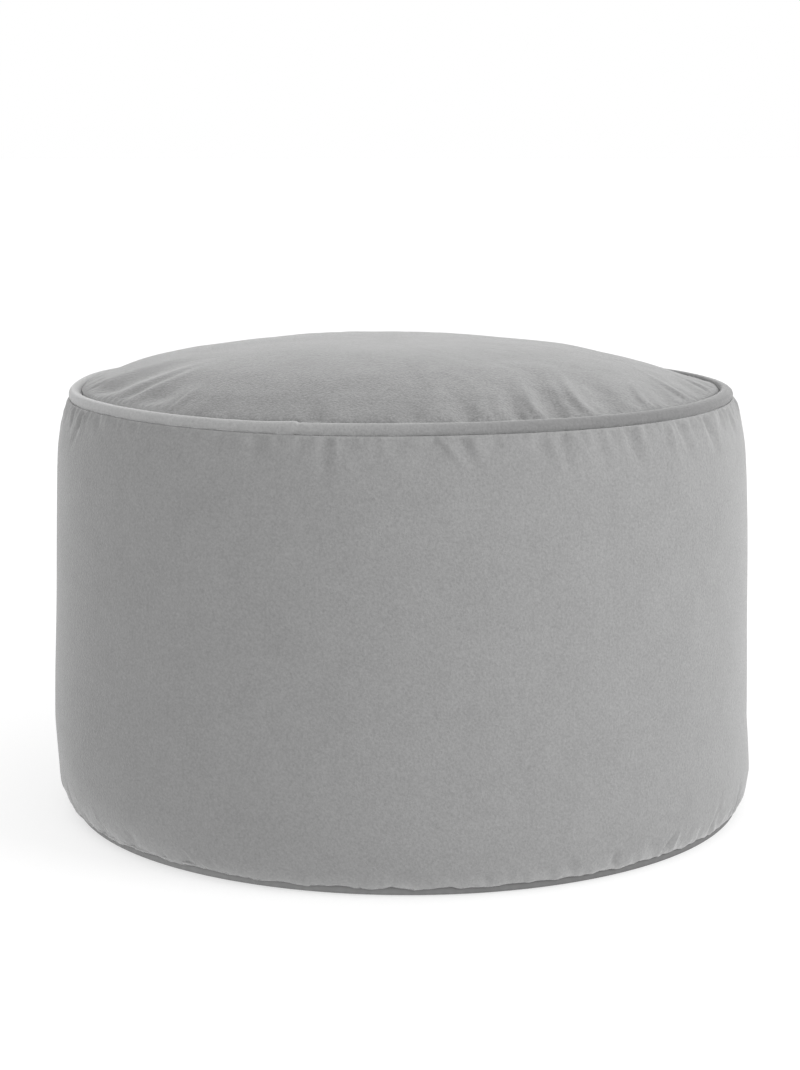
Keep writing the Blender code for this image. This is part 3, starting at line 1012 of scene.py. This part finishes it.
def plush_material(name, left, right, contrast, sheen=0.60, grain_depth=0.0007):
    """Short-pile plush, its colour with painted shade blended from the left of the drum to the
    right and painted light where an attribute asks for it.
    """
    material, tree, shader = new_material(name)
    place = add_node(tree, "ShaderNodeTexCoord").outputs["Object"]
    clouds = add_node(tree, "ShaderNodeTexNoise", {
        "Vector": place, "Scale": 1.0 / CLOUD, "Detail": 2.0,
        "Roughness": 0.55, "Distortion": 0.4,
    })
    patches = add_node(tree, "ShaderNodeTexNoise", {
        "Vector": place, "Scale": 1.0 / PATCH, "Detail": 2.0, "Roughness": 0.6,
    })
    tufts = add_node(tree, "ShaderNodeTexNoise", {
        "Vector": place, "Scale": 1.0 / TUFT, "Detail": 2.0, "Roughness": 0.7,
    })
    lean = add_node(tree, "ShaderNodeMix", {
        "Factor": 0.45, "A": clouds.outputs["Fac"], "B": patches.outputs["Fac"],
    }, data_type="FLOAT")
    nap = add_node(tree, "ShaderNodeMix", {
        "Factor": 0.7, "A": lean.outputs["Result"], "B": tufts.outputs["Fac"],
    }, data_type="FLOAT")
    shade = add_node(tree, "ShaderNodeMapRange", {
        "Value": nap.outputs["Result"], "From Min": 0.3, "From Max": 0.7,
        "To Min": 1.0 - contrast, "To Max": 1.0 + contrast,
    })
    # Painted light: an attribute lightens the colour at the cord, the hem, the seams and the
    # turned edges.
    painted_light = add_node(tree, "ShaderNodeAttribute", attribute_name="painted_light")
    nap_and_painted_light = add_node(tree, "ShaderNodeMath", {
        0: painted_light.outputs["Fac"], 1: PAINTED_LIGHT_GAIN, 2: shade.outputs["Result"],
    }, operation="MULTIPLY_ADD")
    grey = grey_with_painted_shade(tree, place, left, right, PLUSH_ENDS)
    apply_patterned_colour(tree, shader, grey, nap_and_painted_light.outputs["Value"])
    soft = add_node(tree, "ShaderNodeBump", {
        "Height": lean.outputs["Result"], "Strength": 0.35, "Distance": 0.0008,
    })
    grain = add_node(tree, "ShaderNodeBump", {
        "Height": tufts.outputs["Fac"], "Normal": soft.outputs["Normal"],
        "Strength": 0.8, "Distance": grain_depth,
    })
    tree.links.new(grain.outputs["Normal"], shader.inputs["Normal"])
    shader.inputs["Roughness"].default_value = 0.92
    shader.inputs["Specular IOR Level"].default_value = 0.15
    shader.inputs["Sheen Weight"].default_value = sheen
    shader.inputs["Sheen Roughness"].default_value = 0.32
    shader.inputs["Sheen Tint"].default_value = linear("#F2F2F2")
    return material


# The left and right greys carry painted shade: the crown a little darker at the left, the cord
# paler at the left and darker at the right.
plush = plush_material(
    "grey_polyester_plush", left="#898989", right="#8C8C8C", contrast=0.15
)
plush_top = plush_material(
    "grey_polyester_plush_crown", left="#818181", right="#8B8B8B", contrast=0.28, sheen=0.61
)
plush_piping = plush_material(
    "grey_polyester_plush_on_cord", left="#A1A1A1", right="#757575", contrast=0.14
)
print("plush:", plush.name, plush_top.name, plush_piping.name)

# %% [markdown]
# ## Plain polyester cloth
#
# The base is a smooth plain weave, matt and a good deal darker than the plush. Its threads are
# 0.5 mm apart. That is far too fine to show, so they are drawn as faint soft bands 7.5 mm apart,
# which show on the narrow edge as the slight unevenness of a slack cloth: one set along X,
# another along Y, and a third along Z for the turned-up edge. A wave texture counts in angles, 20
# radians for each metre at a scale of 1, and a band is one full turn.

# %% Base cloth material
WAVE_RADIANS = 20.0
FADING_SIZE = 0.040
BASE_ENDS = (-0.20, 0.16)


def woven_material(name, left, right, contrast, band=0.00754):
    """Plain weave cloth, its colour with painted shade blended from the left of the drum to the
    right.
    """
    material, tree, shader = new_material(name)
    place = add_node(tree, "ShaderNodeTexCoord").outputs["Object"]
    bands = []
    for direction in ("X", "Y", "Z"):
        wave = add_node(tree, "ShaderNodeTexWave", {
            "Vector": place, "Scale": 2.0 * math.pi / WAVE_RADIANS / band,
            "Distortion": 0.6, "Detail": 1.0, "Detail Scale": 2.0,
        }, wave_type="BANDS", bands_direction=direction, wave_profile="SIN")
        bands.append(wave.outputs["Fac"])
    flat = add_node(tree, "ShaderNodeMath", {0: bands[0], 1: bands[1]}, operation="MULTIPLY")
    weave = add_node(tree, "ShaderNodeMath", {0: flat.outputs[0], 1: bands[2]}, operation="ADD")
    fading = add_node(tree, "ShaderNodeTexNoise", {
        "Vector": place, "Scale": 1.0 / FADING_SIZE, "Detail": 2.0,
    })
    height = add_node(tree, "ShaderNodeMix", {
        "Factor": 0.35, "A": weave.outputs[0], "B": fading.outputs["Fac"],
    }, data_type="FLOAT")
    shade = add_node(tree, "ShaderNodeMapRange", {
        "Value": height.outputs["Result"], "To Min": 1.0 - contrast, "To Max": 1.0 + contrast,
    })
    apply_patterned_colour(tree, shader, grey_with_painted_shade(tree, place, left, right, BASE_ENDS), shade.outputs["Result"])
    bump = add_node(tree, "ShaderNodeBump", {
        "Height": weave.outputs[0], "Strength": 0.30, "Distance": 0.0003,
    })
    tree.links.new(bump.outputs["Normal"], shader.inputs["Normal"])
    shader.inputs["Roughness"].default_value = 0.80
    shader.inputs["Specular IOR Level"].default_value = 0.25
    return material


# The left and right greys carry painted shade: the base's edge darker at the right.
base_cloth = woven_material(
    "grey_plain_weave_polyester", left="#878787", right="#6D6D6D", contrast=0.08
)
print("base cloth:", base_cloth.name)

# %% [markdown]
# ## Dressing the pieces
#
# Each piece gets its cloth and smooth shading. The cut edges of the two sheets stay sharp, as
# smooth shading over a right angle shows as a dark band.

# %% Dress the pieces
CUT_EDGE_ANGLE = 70.0

dressed = {side: plush, top: plush_top, piping: plush_piping, base: base_cloth}
for piece, material in dressed.items():
    piece.data.materials.clear()
    piece.data.materials.append(material)
    piece.data.shade_smooth()
for piece in (top, base):
    piece.data.set_sharp_from_angle(angle=math.radians(CUT_EDGE_ANGLE))
for piece in dressed:
    print(piece.name, len(piece.data.polygons), "faces,", piece.data.materials[0].name)

# %% [markdown]
# ## Which solid each piece stands for
#
# The part has no joints, so every piece rides on its one body. The solid that each piece stands
# for is hidden.

for piece, node, slot in (
    (side, "side_band", "plush_side"),
    (top, "top_panel", "plush_top"),
    (piping, "piping", "plush_piping"),
    (base, "base_panel", "base_cloth"),
):
    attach(piece, "root")
    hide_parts(node)

# %% [markdown]
# ## Floor
#
# The floor is a very wide disc of matt white acrylic, under a white sky as bright as the floor, so
# that no horizon shows from any side. It is lit from below like a studio light table. About half
# of its brightness is its own, so the shadow under the drum stays pale.

# %% Floor
FLOOR_RADIUS, FLOOR_HEIGHT = 60.0, -0.0004


def make_floor():
    """A wide disc of matt white acrylic, lit from below."""
    bm = bmesh.new()
    bmesh.ops.create_circle(bm, cap_ends=True, radius=FLOOR_RADIUS, segments=96)
    bmesh.ops.translate(bm, verts=bm.verts, vec=(0.0, 0.0, FLOOR_HEIGHT))
    floor = new_piece("white_floor", bm)
    material, tree, shader = new_material("lit_white_acrylic")
    shader.inputs["Base Color"].default_value = linear("#B8B8B8")
    shader.inputs["Emission Color"].default_value = linear("#FFFFFF")
    shader.inputs["Emission Strength"].default_value = 0.56
    shader.inputs["Roughness"].default_value = 0.9
    shader.inputs["Specular IOR Level"].default_value = 0.1
    floor.data.materials.append(material)


make_floor()
print("floor", round(2 * FLOOR_RADIUS), "m across")

# %% [markdown]
# ## Light
#
# The white world stands for the even light of a studio tent. A large soft box at the right front
# shapes the drum, with a weaker one at its right end and a faint one low in front for the base.

# %% Light
def soft_box(name, place, aim, size, power):
    """A square area light that points at aim."""
    light = bpy.data.lights.new(name, "AREA")
    light.size = size
    light.energy = power
    lamp = bpy.data.objects.new(name, light)
    lamp.location = place
    lamp.rotation_euler = (Vector(aim) - Vector(place)).to_track_quat("-Z", "Y").to_euler()
    scene.collection.objects.link(lamp)


soft_box("key_right", place=(2.3, -1.2, 1.4), aim=(0.0, 0.0, 0.2), size=1.4, power=33.5)
soft_box("side_right", place=(2.6, 0.9, 0.8), aim=(0.0, 0.0, 0.2), size=1.0, power=6.0)
soft_box("front_low", place=(0.3, -2.8, 0.7), aim=(0.0, 0.0, 0.1), size=1.6, power=1.0)

world = bpy.data.worlds.new("studio")
world.use_nodes = True
world.node_tree.nodes["Background"].inputs["Color"].default_value = linear("#FFFFFF")
world.node_tree.nodes["Background"].inputs["Strength"].default_value = 1.0
scene.world = world
scene.view_settings.view_transform = "Standard"

# %% [markdown]
# ## Camera
#
# The camera stands 1.75 m away and 0.51 m up and looks down by 9.9 degrees, with a 76 mm lens.
# That was worked out from the outline and from the ellipses of the two seams, so it needs no
# lens shift.

# %% Camera
LOOKS_DOWN = 9.918      # degrees

camera_data = bpy.data.cameras.new("camera")
camera_data.lens = 76.05
camera_data.sensor_width = 36.0
camera = bpy.data.objects.new("camera", camera_data)
camera.location = (-0.0006, -1.7538, 0.5133)
camera.rotation_euler = (math.radians(90.0 - LOOKS_DOWN), 0.0, 0.0)
scene.collection.objects.link(camera)
scene.camera = camera
print("camera", [round(value, 3) for value in camera.location])
